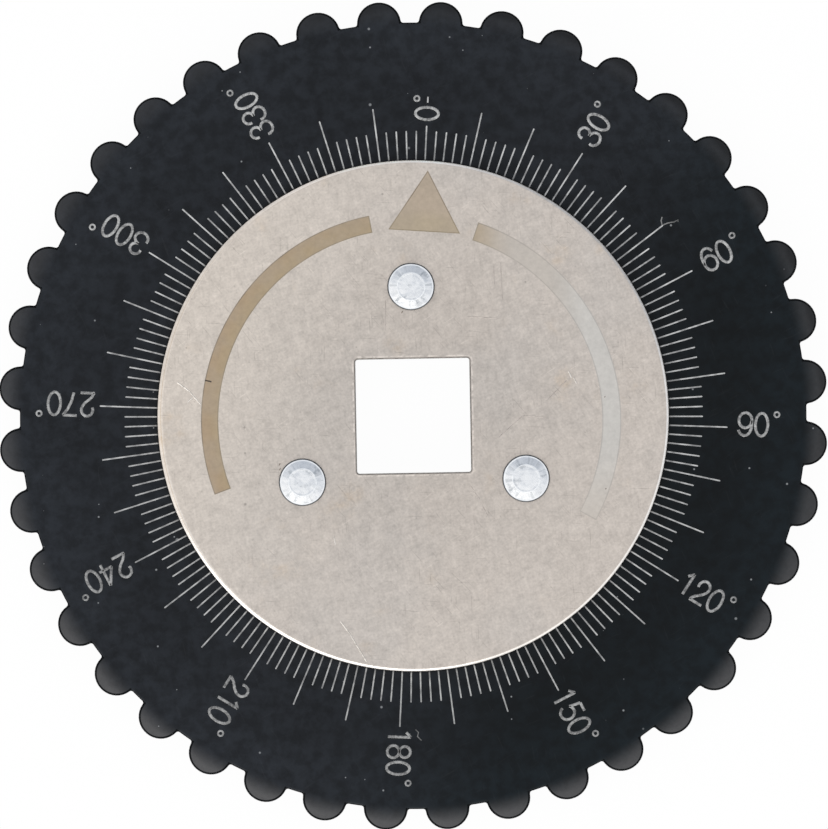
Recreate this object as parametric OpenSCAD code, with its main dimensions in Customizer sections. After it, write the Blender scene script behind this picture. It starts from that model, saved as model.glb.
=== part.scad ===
// Torque angle gauge for a square drive wrench.
// Two round plates and a hub are riveted into one stack that turns with the drive square.
// A scalloped scale ring turns on the hub, held between the plates, and is read at the front plate's rim.
// The drive axis is Z, the back face lies on Z = 0 and the front looks along +Z, with one rivet on +Y.

/* [Square drive] */
// Width across the flats of the square hole, for a half inch drive
square_af = 12.9; // [9.6:0.1:16]
// Radius in the four corners of the square hole
square_corner_r = 0.3; // [0.2:0.1:1.5]
// Chamfer round both mouths of the square hole
square_chamfer = 0.2; // [0.1:0.05:0.5]

/* [Plates] */
// Diameter of the front and back plates
plate_d = 57.6; // [54:0.1:70]
// Thickness of each plate
plate_t = 1.5; // [1:0.1:2.5]
// Rounding of each plate's outer rim
plate_rim_r = 0.4; // [0.1:0.05:0.8]

/* [Scale ring] */
// Diameter of the ring at the bottom of the valleys between the lobes
ring_root_d = 88.8; // [80:0.2:110]
// Diameter of the bore that turns on the hub
ring_bore_d = 46; // [40:0.5:50]
// Thickness of the ring
ring_t = 3.2; // [2.4:0.1:4.6]
// Number of finger lobes round the ring
lobe_count = 40; // [24:4:48]
// Radius of one lobe seen from the front
lobe_r = 2.48; // [2.4:0.02:2.8]
// Angle of the first lobe from +X at rest
lobe_start = 4; // [0:0.5:9]
// Rounding along the ring's front edge
ring_edge_r = 0.35; // [0.1:0.05:0.6]
// How far the front of a lobe is rolled down at its tip
lobe_roll = 0.9; // [0.6:0.05:1.4]
// Chamfer at both ends of the ring's bore
bore_chamfer = 0.3; // [0.1:0.05:0.6]

/* [Rivets] */
// Diameter of the circle that the rivets lie on
rivet_circle_d = 29.1; // [27:0.1:34]
// Diameter of a rivet's shank
rivet_d = 3; // [2.4:0.1:3.6]
// Diameter of the head on the front plate
rivet_head_d = 5.4; // [4.8:0.1:6]
// Height of the head above the front plate
rivet_head_h = 0.8; // [0.5:0.05:1.2]
// Diameter of the flat on top of the head
rivet_flat_d = 3.4; // [2.4:0.1:4.2]
// Height of the head's upright rim
rivet_rim_h = 0.3; // [0.1:0.05:0.4]
// Straight stretch of the rivet hole left above the countersink in the back plate
sink_land = 0.4; // [0.2:0.05:0.6]

/* [Clearances] */
// Radial clearance between the hub and the ring's bore
turn_gap = 0.05; // [0.02:0.01:0.1]
// Clearance between the ring and each plate
face_gap = 0.05; // [0.02:0.01:0.15]
// Radial clearance round the rivets
rivet_gap = 0.03; // [0.01:0.01:0.1]

/* [Hidden] */
$fn = 96;

// Turn of each rivet from +Y, anticlockwise seen from the front
rivet_turns = [0, 120, 240];
// How far the cutters run past the faces that they cut
past = 1;
// How far the arc of the rolled lobes would stand above the ring's face
roll_trim = 0.05;

// Heights of the stack from the back face
hub_bottom = plate_t;
hub_t = ring_t + 2 * face_gap;
hub_top = hub_bottom + hub_t;
front_face = hub_top + plate_t;
ring_bottom = hub_bottom + face_gap;

// Radii
plate_r = plate_d / 2;
hub_r = ring_bore_d / 2 - turn_gap;
root_r = ring_root_d / 2;
rivet_r = rivet_d / 2;
rivet_hole_r = rivet_r + rivet_gap;

// Arc that crests over the root circle and has dropped by the roll at a lobe's tip
roll_h = lobe_roll + roll_trim;
roll_r = (lobe_r * lobe_r + roll_h * roll_h) / (2 * roll_h);

// The countersink has a right-angled cone
sink_h = plate_t - sink_land;

// Outline of the square hole, with rounded corners
module square_outline() {
  flat = square_af - 2 * square_corner_r;
  square([square_af, flat], center = true);
  square([flat, square_af], center = true);
  for (x = [-flat / 2, flat / 2], y = [-flat / 2, flat / 2])
    translate([x, y]) circle(square_corner_r);
}

// Cutter for the square hole through anything up to height h
module square_cutter(h) {
  translate([0, 0, -past]) linear_extrude(h + 2 * past) square_outline();
}

// Cutter for the chamfer round the square's mouth, in an upper face at z = 0
module mouth_cutter() {
  flat = square_af - 2 * square_corner_r;
  bevel = [[0, past], [square_chamfer + past, past], [0, -square_chamfer], [-past, -square_chamfer], [-past, past]];
  for (turn = [0:90:270]) rotate(turn) {
    translate([square_af / 2, flat / 2, 0]) rotate([90, 0, 0]) linear_extrude(flat) polygon(bevel);
    translate([flat / 2, flat / 2, -square_chamfer])
      cylinder(h = square_chamfer + past, r1 = square_corner_r, r2 = square_corner_r + square_chamfer + past);
  }
}

// Repeats its children at the three rivets
module at_rivets() {
  for (turn = rivet_turns) rotate(turn) translate([0, rivet_circle_d / 2, 0]) children();
}

// Cutter for the straight rivet holes through anything up to height h
module rivet_hole_cutter(h) {
  at_rivets() translate([0, 0, -past]) cylinder(h = h + 2 * past, r = rivet_hole_r);
}

// Plate with its inner face on z = 0 and its rounded rim and chamfered mouth on the outer face
module plate() {
  difference() {
    rotate_extrude() rounded_section(plate_r, plate_t, plate_rim_r);
    square_cutter(plate_t);
    translate([0, 0, plate_t]) mouth_cutter();
    rivet_hole_cutter(plate_t);
  }
}

// Front plate, whose face carries the pointer
module pointer_plate() {
  color([0.78, 0.75, 0.71]) translate([0, 0, hub_top]) plate();
}

// Back plate, countersunk so that the rivets lie flush with the back of the gauge
module back_plate() {
  color([0.74, 0.72, 0.69])
    difference() {
      translate([0, 0, plate_t]) mirror([0, 0, 1]) plate();
      at_rivets() translate([0, 0, -past])
        cylinder(h = sink_h + past, r1 = rivet_hole_r + sink_h + past, r2 = rivet_hole_r);
    }
}

// Hub that spaces the plates and carries the ring
module bearing_hub() {
  color([0.6, 0.6, 0.62])
    translate([0, 0, hub_bottom])
      difference() {
        cylinder(h = hub_t, r = hub_r);
        square_cutter(hub_t);
        rivet_hole_cutter(hub_t);
      }
}

// Section of a disc with its lower face on z = 0 and its upper edge rounded
module rounded_section(r, t, edge_r) {
  square([r - edge_r, t]);
  square([r, t - edge_r]);
  translate([r - edge_r, t - edge_r]) circle(edge_r);
}

// Blank of the scale ring as it is stamped, with finger lobes round a plain disc
module ring_blank() {
  rotate_extrude() rounded_section(root_r, ring_t, ring_edge_r);
  for (i = [0:lobe_count - 1])
    rotate(lobe_start + i * 360 / lobe_count) translate([root_r, 0, 0])
      rotate_extrude() rounded_section(lobe_r, ring_t, ring_edge_r);
}

// Envelope whose arc rolls the front of the lobes down towards their tips
module roll_envelope() {
  rotate_extrude()
    intersection() {
      union() {
        translate([root_r, ring_t + roll_trim - roll_r]) circle(roll_r);
        translate([0, -past]) square([root_r, ring_t + roll_trim + past]);
      }
      translate([0, -past]) square([root_r + 2 * lobe_r, ring_t + 2 * past]);
    }
}

// Scale ring with a plain bore and finger lobes round its rim
module scale_ring() {
  bore_r = ring_bore_d / 2;
  color([0.15, 0.16, 0.18])
    translate([0, 0, ring_bottom])
      difference() {
        intersection() {
          ring_blank();
          roll_envelope();
        }
        translate([0, 0, -past]) cylinder(h = ring_t + 2 * past, r = bore_r);
        translate([0, 0, -past])
          cylinder(h = bore_chamfer + past, r1 = bore_r + bore_chamfer + past, r2 = bore_r);
        translate([0, 0, ring_t - bore_chamfer])
          cylinder(h = bore_chamfer + past, r1 = bore_r, r2 = bore_r + bore_chamfer + past);
      }
}

// Rivet on the axis of its hole, with a flat-topped head in front and a countersunk head behind
module rivet(turn) {
  head_r = rivet_head_d / 2;
  section = [
    [0, 0],
    [rivet_r + sink_h, 0],
    [rivet_r, sink_h],
    [rivet_r, front_face],
    [head_r, front_face],
    [head_r, front_face + rivet_rim_h],
    [rivet_flat_d / 2, front_face + rivet_head_h],
    [0, front_face + rivet_head_h],
  ];
  color([0.87, 0.88, 0.9])
    rotate(turn) translate([0, rivet_circle_d / 2, 0]) rotate_extrude() polygon(section);
}

pointer_plate();
back_plate();
bearing_hub();
scale_ring();
rivet(rivet_turns[0]);  // rivet_top
rivet(rivet_turns[1]);  // rivet_left
rivet(rivet_turns[2]);  // rivet_right
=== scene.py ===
# %% [markdown]
# A torque angle gauge is a flat disc that sits between a wrench and a socket. The drive square of the
# wrench turns a riveted stack of plates, and a black ring with a degree scale is held still by hand.
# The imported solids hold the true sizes, so this lesson dresses them: it models the stamped edges, the
# laser marks and the rivet heads, and gives every surface a finish made of shader nodes.

import math

import bmesh
import bpy
from mathutils import Matrix, Vector, noise


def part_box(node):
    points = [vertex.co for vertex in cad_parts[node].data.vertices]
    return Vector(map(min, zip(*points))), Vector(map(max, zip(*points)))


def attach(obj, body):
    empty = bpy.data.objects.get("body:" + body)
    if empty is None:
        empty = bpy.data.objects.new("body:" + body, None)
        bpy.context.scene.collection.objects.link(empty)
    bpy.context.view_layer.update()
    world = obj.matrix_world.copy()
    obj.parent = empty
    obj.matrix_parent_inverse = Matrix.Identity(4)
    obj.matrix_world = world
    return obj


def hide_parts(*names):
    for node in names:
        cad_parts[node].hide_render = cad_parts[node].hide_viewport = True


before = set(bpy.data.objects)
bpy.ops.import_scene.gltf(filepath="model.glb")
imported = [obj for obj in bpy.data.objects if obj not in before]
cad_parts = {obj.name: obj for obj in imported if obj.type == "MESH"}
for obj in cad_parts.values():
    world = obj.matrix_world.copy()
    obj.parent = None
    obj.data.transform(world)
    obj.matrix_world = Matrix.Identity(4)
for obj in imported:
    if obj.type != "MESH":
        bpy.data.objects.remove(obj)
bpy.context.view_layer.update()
MM = 0.001
STACK = "drive_stack"
SCALE = "scale"
print("nodes", sorted(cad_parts))

# %% [markdown]
# The heights and radii of the real pieces come from the boxes of the solids. Only what a box can't tell
# is written here as a real size: half the square, the root circle of the ring, its lobes and its bore.

# %% Sizes that the pieces share
ring_low, ring_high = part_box("scale_ring")
plate_low, plate_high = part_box("pointer_plate")
RING_BOTTOM = ring_low.z
RING_TOP = ring_high.z
PLATE_TOP = plate_high.z
PLATE_R = plate_high.x
SQUARE_HALF = 6.45 * MM
ROOT_R = 44.4 * MM
LOBE_R = 2.48 * MM
BORE_R = 23.0 * MM
LOBES = 40
LOBE_START = math.radians(4)
print("ring from", RING_BOTTOM, "to", RING_TOP, "plate radius", PLATE_R)

# %% [markdown]
# The photograph looks straight down on the disc through a long lens, with the disc filling the frame.
# A long lens far away keeps the plate and the lower ring at nearly one scale, as the photograph does.
# The square sits one degree off level in the picture, so the camera is rolled and the part stays put.

# %% Camera
PHOTO_W = 828
PHOTO_H = 829
PX_PER_MM = 8.876
DISC_CENTRE_PX = (413.2, 415.8)
CAMERA_DISTANCE = 0.9
SENSOR_W = 36.0
ROLL = math.radians(-1.0)

camera_data = bpy.data.cameras.new("photo_camera")
camera = bpy.data.objects.new("photo_camera", camera_data)
bpy.context.scene.collection.objects.link(camera)
frame_width = PHOTO_W / PX_PER_MM * MM
camera_data.sensor_fit = "HORIZONTAL"
camera_data.sensor_width = SENSOR_W
camera_data.lens = SENSOR_W * CAMERA_DISTANCE / frame_width
right_of_centre = (PHOTO_W / 2 - DISC_CENTRE_PX[0]) / PX_PER_MM * MM
above_centre = (DISC_CENTRE_PX[1] - PHOTO_H / 2) / PX_PER_MM * MM
camera.location = (right_of_centre, above_centre, PLATE_TOP + CAMERA_DISTANCE)
camera.rotation_euler = (0, 0, ROLL)
bpy.context.scene.camera = camera
bpy.context.scene.view_settings.view_transform = "Standard"
print("lens", round(camera_data.lens), "mm, frame", round(frame_width / MM, 1), "mm wide")

# %% [markdown]
# Shader sums read best as Python. One small class wraps a socket: an expression such as 1 - mask adds the
# Math nodes that it needs, and one method adds any other kind of node.

# %% Shader sums in Python
class Wire:
    """A shader socket that takes part in Python sums."""

    def __init__(self, tree, socket=None):
        self.tree = tree
        self.socket = socket

    def add(self, kind, settings, inputs, output=0):
        """Add any node: its settings first, then the values or links of its sockets."""
        node = self.tree.nodes.new(kind)
        for name, value in settings.items():
            setattr(node, name, value)
        for key, value in inputs.items():
            if isinstance(value, Wire):
                self.tree.links.new(value.socket, node.inputs[key])
            else:
                node.inputs[key].default_value = value
        return Wire(self.tree, node.outputs[output])

    def math(self, operation, first, second):
        return self.add("ShaderNodeMath", {"operation": operation}, {0: first, 1: second})

    def __add__(self, other):
        return self.math("ADD", self, other)

    __radd__ = __add__

    def __sub__(self, other):
        return self.math("SUBTRACT", self, other)

    def __rsub__(self, other):
        return self.math("SUBTRACT", other, self)

    def __mul__(self, other):
        return self.math("MULTIPLY", self, other)

    __rmul__ = __mul__

    def __truediv__(self, other):
        return self.math("DIVIDE", self, other)

    def step(self, low, high):
        """0 below low, 1 above high, smooth between."""
        settings = {"interpolation_type": "SMOOTHSTEP"}
        return self.add("ShaderNodeMapRange", settings, {0: self, 1: low, 2: high})

    def tint(self, low_colour, high_colour):
        """Mix two colours by this value."""
        return self.add("ShaderNodeMix", {"data_type": "RGBA"}, {0: self, 6: low_colour, 7: high_colour}, 2)

    def shaded(self, level):
        """This colour made lighter or darker by a level."""
        settings = {"data_type": "RGBA", "blend_type": "MULTIPLY"}
        return self.add("ShaderNodeMix", settings, {0: 1.0, 6: self, 7: level}, 2)


print("shader sums ready")

# %% [markdown]
# Worn metal is built from a few patterns: soft clouds, straight or bent streaks for scratches, and dots
# for pits. They all lie in the object's own coordinates, at real sizes.

# %% Patterns for worn metal
class Finish:
    """A material with one Principled shader, and the patterns that feed it."""

    def __init__(self, name, metallic, specular=0.5):
        self.material = bpy.data.materials.new(name)
        self.material.use_nodes = True
        self.tree = self.material.node_tree
        self.shader = self.tree.nodes["Principled BSDF"]
        self.shader.inputs["Metallic"].default_value = metallic
        self.shader.inputs["Specular IOR Level"].default_value = specular
        self.wire = Wire(self.tree)
        self.place = self.wire.add("ShaderNodeTexCoord", {}, {}, "Object")

    def feed(self, socket_name, value):
        self.tree.links.new(value.socket, self.shader.inputs[socket_name])

    def axis(self, index):
        """One coordinate of the surface: 0 for x, 1 for y, 2 for z."""
        return self.wire.add("ShaderNodeSeparateXYZ", {}, {0: self.place}, index)

    def radius(self):
        """Distance of the surface from the drive axis."""
        flat = self.wire.add("ShaderNodeVectorMath", {"operation": "MULTIPLY"}, {0: self.place, 1: (1, 1, 0)})
        return self.wire.add("ShaderNodeVectorMath", {"operation": "LENGTH"}, {0: flat}, 1)

    def along(self, way):
        """How far the surface lies from the drive axis along a direction in the face."""
        return self.axis(0) * way[0] + self.axis(1) * way[1]

    def cloud(self, size, detail=3.0, vector=None, output=0, rough=0.5):
        """Soft noise whose patches are about this size; rough noise keeps more of its fine detail."""
        inputs = {"Vector": vector or self.place, "Scale": 1 / size, "Detail": detail, "Roughness": rough}
        return self.wire.add("ShaderNodeTexNoise", {}, inputs, output)

    def bent_place(self, amount, size):
        """The place, pushed about a little so that straight patterns bend."""
        push = self.cloud(size, 1.0, None, 1)
        inputs = {0: push, 1: (amount, amount, 0), 2: self.place}
        return self.wire.add("ShaderNodeVectorMath", {"operation": "MULTIPLY_ADD"}, inputs)

    def brushed(self, angle, width, length, detail, vector=None):
        """Noise drawn out into streaks that run at an angle from the y axis."""
        inputs = {"Vector": vector or self.place, "Rotation": (0, 0, angle), "Scale": (width, length, length)}
        stretched = self.wire.add("ShaderNodeMapping", {"vector_type": "TEXTURE"}, inputs)
        return self.cloud(1.0, detail, stretched)

    def streaks(self, angle, width, length, share, vector=None):
        """Sparse scratches: only the crests of the drawn-out noise."""
        return self.brushed(angle, width, length, 0.0, vector).step(1 - share, 1.06 - share)

    def dots(self, spacing, radius, share):
        """Round specks of mixed sizes in some cells of a grid of random points."""
        settings = {"voronoi_dimensions": "2D"}
        inputs = {"Vector": self.place, "Scale": 1 / spacing}
        distance = self.wire.add("ShaderNodeTexVoronoi", settings, inputs, "Distance")
        colour = self.wire.add("ShaderNodeTexVoronoi", settings, inputs, "Color")
        lot = self.wire.add("ShaderNodeSeparateColor", {}, {0: colour}, 0)
        size = self.wire.add("ShaderNodeSeparateColor", {}, {0: colour}, 1) * (radius / spacing)
        inside = 1 - (distance / (size + 0.0001)).step(0.4, 1.0)
        return inside * (1 - lot.step(share, share + 0.01))

    def done(self, colour, rough, height=None, depth=0):
        """Feed the shader, with a bump where a height is given, and return the material."""
        self.feed("Base Color", colour)
        self.feed("Roughness", rough)
        if height:
            inputs = {"Height": height, "Strength": 1.0, "Distance": depth}
            self.feed("Normal", self.wire.add("ShaderNodeBump", {}, inputs))
        return self.material


print("patterns ready")

# %% [markdown]
# The plates are nickel-plated steel: a warm grey satin metal, cloudy over a few millimetres, scratched by
# handling and stained in places. A metal has no diffuse colour of its own, so clouds, scratches and stains go
# into the tint of its reflection and into how rough it is. Light and shade are painted in as well. The face
# is lighter towards the left, and the rim gets a painted highlight that changes round the plate. The square
# gets a dark line of painted shade at its mouth, where the edge breaks down into the hole, and a painted
# highlight on the ragged lip beside it. Rim and mouth are both drawn by distance.

# %% Rim and mouth of the plate
RIM_NARROW = 0.30 * MM
RIM_WIDE = 0.62 * MM
GROOVE_IN = 0.33 * MM
GROOVE_HALF_W = 0.08 * MM
MOUTH_SHADE_W = 0.09 * MM
LIP_HIGHLIGHT_W = 0.30 * MM
CORNER_R = 0.3 * MM


def square_gap(finish):
    """How far the surface lies outside the square with its rounded corners."""
    inner = SQUARE_HALF - CORNER_R
    across = finish.wire.math("ABSOLUTE", finish.axis(0), 0) - inner
    along = finish.wire.math("ABSOLUTE", finish.axis(1), 0) - inner
    past = {0: finish.wire.math("MAXIMUM", across, 0), 1: finish.wire.math("MAXIMUM", along, 0)}
    outwards = finish.wire.add("ShaderNodeCombineXYZ", {}, past)
    return finish.wire.add("ShaderNodeVectorMath", {"operation": "LENGTH"}, {0: outwards}, 1) - CORNER_R


def plate_rim(finish):
    """1 on the bevel of the rim, which is widest on the left, and 1 on the groove along its left side."""
    left = finish.wire.math("MAXIMUM", finish.axis(0) / -PLATE_R, 0)
    left = left * left
    radius = finish.radius()
    bevel = (radius + left * (RIM_WIDE - RIM_NARROW)).step(PLATE_R - RIM_NARROW, PLATE_R - RIM_NARROW * 0.7)
    middle = PLATE_R - GROOVE_IN
    groove = radius.step(middle - GROOVE_HALF_W, middle) * (1 - radius.step(middle, middle + GROOVE_HALF_W))
    return bevel, groove * left


def rim_polish(finish):
    """The painted highlight on the rim, as how much brighter it is than the face: most on the right and at
    the top, least between them.
    """
    highlight = 0.14 + finish.along((1.0, 0.15)).step(-PLATE_R, PLATE_R) * 0.47
    highlight = highlight + finish.axis(1).step(0.72 * PLATE_R, PLATE_R) * 0.34
    return highlight * (1 - finish.along((0.71, 0.71)).step(0.75 * PLATE_R, PLATE_R) * 0.85)


def square_mouth(finish):
    """The dark line of painted shade at the square, the lip beside it with a painted highlight, and a noise
    that makes both ragged.
    """
    gap = square_gap(finish)
    ragged = finish.cloud(0.7 * MM, 3.0, rough=0.6).step(0.36, 0.64)
    line = 1 - gap.step(MOUTH_SHADE_W, MOUTH_SHADE_W * 2)
    lip = (1 - gap.step(LIP_HIGHLIGHT_W, LIP_HIGHLIGHT_W * 1.3)) * (1 - line)
    return line, lip, ragged


print("rim", RIM_NARROW, "to", RIM_WIDE)

# %% Satin nickel
NICKEL_WARM = (0.580, 0.522, 0.468, 1)
NICKEL_COOL = (0.560, 0.511, 0.465, 1)
NICKEL_LIT_LEFT = (0.640, 0.575, 0.508, 1)
STAIN = (0.500, 0.400, 0.300, 1)
BARE_RIM = (0.582, 0.558, 0.532, 1)
FINE_BUMP = 0.006 * MM


def nickel_scratches(finish, bent):
    """Dark scratches in three directions, and light ones in another."""
    dark = finish.streaks(0.03, 0.10 * MM, 3.2 * MM, 0.25, bent)
    for angle in (0.7, 1.5):
        dark = dark + finish.streaks(angle, 0.10 * MM, 2.6 * MM, 0.225, bent)
    return dark, finish.streaks(-1.0, 0.13 * MM, 2.2 * MM, 0.235, bent)


def satin_nickel():
    finish = Finish("satin_nickel", 1.0)
    bent = finish.bent_place(0.6 * MM, 6 * MM)
    cloud = finish.cloud(15 * MM, 4.0)
    mottle = finish.cloud(1.4 * MM, 4.0, rough=0.6)
    grain = finish.cloud(0.25 * MM, 2.0)
    rubbed = finish.brushed(0.3, 0.4 * MM, 1.3 * MM, 3.0, bent) * 0.26
    rubbed = rubbed + finish.brushed(-1.1, 0.4 * MM, 1.3 * MM, 3.0, bent) * 0.24
    handled = finish.cloud(7 * MM, 2.0).step(0.36, 0.60)
    tone = (cloud * 0.85 + mottle * 0.15).step(0.38, 0.62).tint(NICKEL_COOL, NICKEL_WARM)
    # Painted light: the plate is lighter and warmer towards the left, where the light falls.
    tone = finish.along((-0.9, 0.35)).step(0.05 * PLATE_R, 0.97 * PLATE_R).tint(tone, NICKEL_LIT_LEFT)
    stain = finish.cloud(5 * MM, 3.0, bent).step(0.58, 0.76) * mottle.step(0.35, 0.7)
    rim, groove = plate_rim(finish)
    bare = finish.along((0.8, -0.6)).step(-0.9 * PLATE_R, -0.2 * PLATE_R)
    tone = (rim * bare).tint(tone, BARE_RIM)
    tone = (stain * 0.6 + groove * 0.7).tint(tone, STAIN)
    dark, light = nickel_scratches(finish, bent)
    specks = finish.dots(2.4 * MM, 0.17 * MM, 0.16) * 0.12 - finish.dots(3.2 * MM, 0.22 * MM, 0.06) * 0.30
    specks = specks - finish.dots(0.8 * MM, 0.16 * MM, 0.22) * 0.10
    level = 0.37 + rubbed + mottle * 0.36 + grain * 0.34 + (light * 0.14 - dark * 0.20) * handled + specks
    level = level + finish.radius().step(8 * MM, 24 * MM) * 0.06 - 0.02
    # Painted highlights on the rim and on the lip of the square, and painted shade in the dark line at its
    # mouth.
    line, lip, ragged = square_mouth(finish)
    level = level + rim * rim_polish(finish) + lip * (ragged * 0.36 - 0.05)
    level = level * (1 - line * (0.40 + ragged * 0.25))
    rough = 0.34 + grain * 0.12 + stain * 0.1 - rim * 0.10
    return finish.done(tone.shaded(level), rough, grain + light * 0.5 - dark * 0.6, FINE_BUMP)


def dress_node(node, material):
    """Give a solid a better material and leave its shape alone."""
    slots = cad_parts[node].data.materials
    slots.clear()
    slots.append(material)


nickel = satin_nickel()
dress_node("back_plate", nickel)
print("nickel on the back plate")

# %% [markdown]
# The hub only shows on the walls of the square hole. It is plain steel with the fine upright lines that a
# broach leaves, so its noise is stretched along the drive axis. The noise is also turned by an eighth of
# a turn, so that all four walls cut across the lines.

# %% Broached steel
def broached_steel():
    finish = Finish("broached_steel", 1.0)
    lines = finish.streaks(math.pi / 4, 0.21 * MM, 12 * MM, 0.5)
    grain = finish.cloud(0.3 * MM, 2.0)
    shade = (lines * 0.5 + grain * 0.5).tint((0.34, 0.33, 0.32, 1), (0.52, 0.51, 0.49, 1))
    return finish.done(shade, 0.30 + lines * 0.12, lines + grain, FINE_BUMP)


dress_node("bearing_hub", broached_steel())
print("steel on the hub")

# %% [markdown]
# The ring is stamped from sheet steel, so its outline is sharp behind and rolled over in front: widely on
# the lobes, hardly at all in the valleys. By hand one would draw the outline as a loop of edges and
# extrude it again and again, each new loop a little further in. The same is done here: a formula gives
# the outline at any inset, and each extruded loop is set on it at the height of the roll.

# %% Outline of the ring
VALLEY_FILLET = 0.3 * MM
LOBE_STEPS = 18
FILLET_STEPS = 4
VALLEY_STEPS = 3


def arc_points(centre, radius, start, end, steps):
    """Points along an arc, without its last one."""
    turns = [start + (end - start) * i / steps for i in range(steps)]
    return [centre + Vector((math.cos(t), math.sin(t))) * radius for t in turns]


def lobe_pitch(inset):
    """One lobe about +X with the fillets and the half valleys beside it, drawn at an inset."""
    fillet = VALLEY_FILLET
    x = ((ROOT_R + fillet) ** 2 - (LOBE_R + fillet) ** 2 + ROOT_R ** 2) / (2 * ROOT_R)
    y = math.sqrt((ROOT_R + fillet) ** 2 - x ** 2)
    middle = Vector((0, 0))
    half_pitch = math.pi / LOBES
    side = math.atan2(y, x)
    flank = math.atan2(y, x - ROOT_R)
    points = arc_points(middle, ROOT_R - inset, -half_pitch, -side, VALLEY_STEPS)
    points += arc_points(Vector((x, -y)), fillet + inset, math.pi - side, math.pi - flank, FILLET_STEPS)
    points += arc_points(Vector((ROOT_R, 0)), LOBE_R - inset, -flank, flank, LOBE_STEPS)
    points += arc_points(Vector((x, y)), fillet + inset, math.pi + flank, math.pi + side, FILLET_STEPS)
    points += arc_points(middle, ROOT_R - inset, side, half_pitch, VALLEY_STEPS)
    return points


def all_round(pitch):
    """One pitch of points, repeated round the ring."""
    points = []
    for i in range(LOBES):
        turn = Matrix.Rotation(LOBE_START + i * 2 * math.pi / LOBES, 2)
        points += [turn @ p for p in pitch]
    return points


def even_pitch(radius):
    """A pitch of the same number of points, evenly spread on a circle."""
    count = len(lobe_pitch(0))
    half_pitch = math.pi / LOBES
    return arc_points(Vector((0, 0)), radius, -half_pitch, half_pitch, count)


print("outline points", len(all_round(lobe_pitch(0))))

# %% Loops of the ring
EDGE_R = 0.3 * MM
BACK_BREAK = 0.08 * MM
TIP_ROLL = 0.9 * MM
SIDE_ROLL = 0.16 * MM
SIDE_ROLL_W = 1.2 * MM
SIDE_ROLL_FULL = 0.6 * LOBE_R
BORE_BREAK = 0.3 * MM
FLAT_R = ROOT_R - 2.4 * MM
ROLL_R = (LOBE_R ** 2 + TIP_ROLL ** 2) / (2 * TIP_ROLL)
INSETS = [0, 0.02, 0.06, 0.12, 0.18, 0.24, 0.32, 0.45, 0.65, 0.9, 1.2]
BLENDS = [0.15, 0.3, 0.45, 0.6, 0.8, 1.0]


def roll_drop(point, inset):
    """How far the front has dropped here: the edge's rounding, the roll to the tip and to the sides."""
    lip = max(EDGE_R - inset, 0)
    drop = EDGE_R - math.sqrt(EDGE_R ** 2 - lip ** 2)
    out = max(point.length - ROOT_R, 0)
    drop += ROLL_R - math.sqrt(ROLL_R ** 2 - out ** 2)
    on_lobe = min(out / SIDE_ROLL_FULL, 1)
    near_side = max(1 - inset / SIDE_ROLL_W, 0)
    return drop + SIDE_ROLL * on_lobe ** 2 * near_side ** 2


def flat_loop(pitch, height):
    return [Vector((p.x, p.y, height)) for p in all_round(pitch)]


def front_loop(pitch, inset):
    return [Vector((p.x, p.y, RING_TOP - roll_drop(p, inset))) for p in all_round(pitch)]


last_inset = lobe_pitch(INSETS[-1] * MM)
flat_circle = even_pitch(FLAT_R)
ring_loops = [
    flat_loop(lobe_pitch(BACK_BREAK), RING_BOTTOM),
    flat_loop(lobe_pitch(0), RING_BOTTOM + BACK_BREAK),
]
ring_loops += [front_loop(lobe_pitch(inset * MM), inset * MM) for inset in INSETS]
for share in BLENDS:
    between = [a.lerp(b, share) for a, b in zip(last_inset, flat_circle)]
    ring_loops.append(front_loop(between, SIDE_ROLL_W))
ring_loops += [
    flat_loop(even_pitch(BORE_R + BORE_BREAK), RING_TOP),
    flat_loop(even_pitch(BORE_R), RING_TOP - BORE_BREAK),
    flat_loop(even_pitch(BORE_R), RING_BOTTOM + BORE_BREAK),
    flat_loop(even_pitch(BORE_R + BORE_BREAK), RING_BOTTOM),
]
print("ring loops", len(ring_loops))

# %% Model the ring by extruding its outline
ANGLE_SLACK = 0.0001
SMOOTH_BELOW = math.radians(32)


def place_selected(piece, points, middle):
    """Set the selected vertices on the points of a loop, in order round its middle."""
    mesh = bmesh.from_edit_mesh(piece.data)
    first = points[0] - middle
    start = math.atan2(first.y, first.x) - ANGLE_SLACK
    chosen = [v for v in mesh.verts if v.select]
    chosen.sort(key=lambda v: (math.atan2(v.co.y - middle.y, v.co.x - middle.x) - start) % (2 * math.pi))
    for vertex, point in zip(chosen, points):
        vertex.co = point
    bmesh.update_edit_mesh(piece.data)


def new_piece(name, add_primitive, **settings):
    """A primitive added with nothing else selected, its place put into its mesh."""
    bpy.ops.object.select_all(action="DESELECT")
    add_primitive(**settings)
    bpy.ops.object.transform_apply(location=True, rotation=True, scale=True)
    piece = bpy.context.object
    piece.name = name
    return piece


def start_loop(name, points, middle):
    """A circle of edges, selected in edit mode and set on the first loop."""
    add_circle = bpy.ops.mesh.primitive_circle_add
    piece = new_piece(name, add_circle, vertices=len(points), radius=MM, location=middle)
    bpy.ops.object.mode_set(mode="EDIT")
    bpy.ops.mesh.select_all(action="SELECT")
    place_selected(piece, points, middle)
    return piece


def close_piece(piece):
    """Turn all faces outwards and leave edit mode."""
    bpy.ops.mesh.select_all(action="SELECT")
    bpy.ops.mesh.normals_make_consistent(inside=False)
    bpy.ops.mesh.select_mode(type="FACE")
    bpy.ops.object.mode_set(mode="OBJECT")


def assign_faces(piece, material, wanted):
    """Give a material to the faces that a rule picks by their middle and normal."""
    piece.data.materials.append(material)
    index = len(piece.data.materials) - 1
    for face in piece.data.polygons:
        if wanted(face.center, face.normal):
            face.material_index = index


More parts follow.
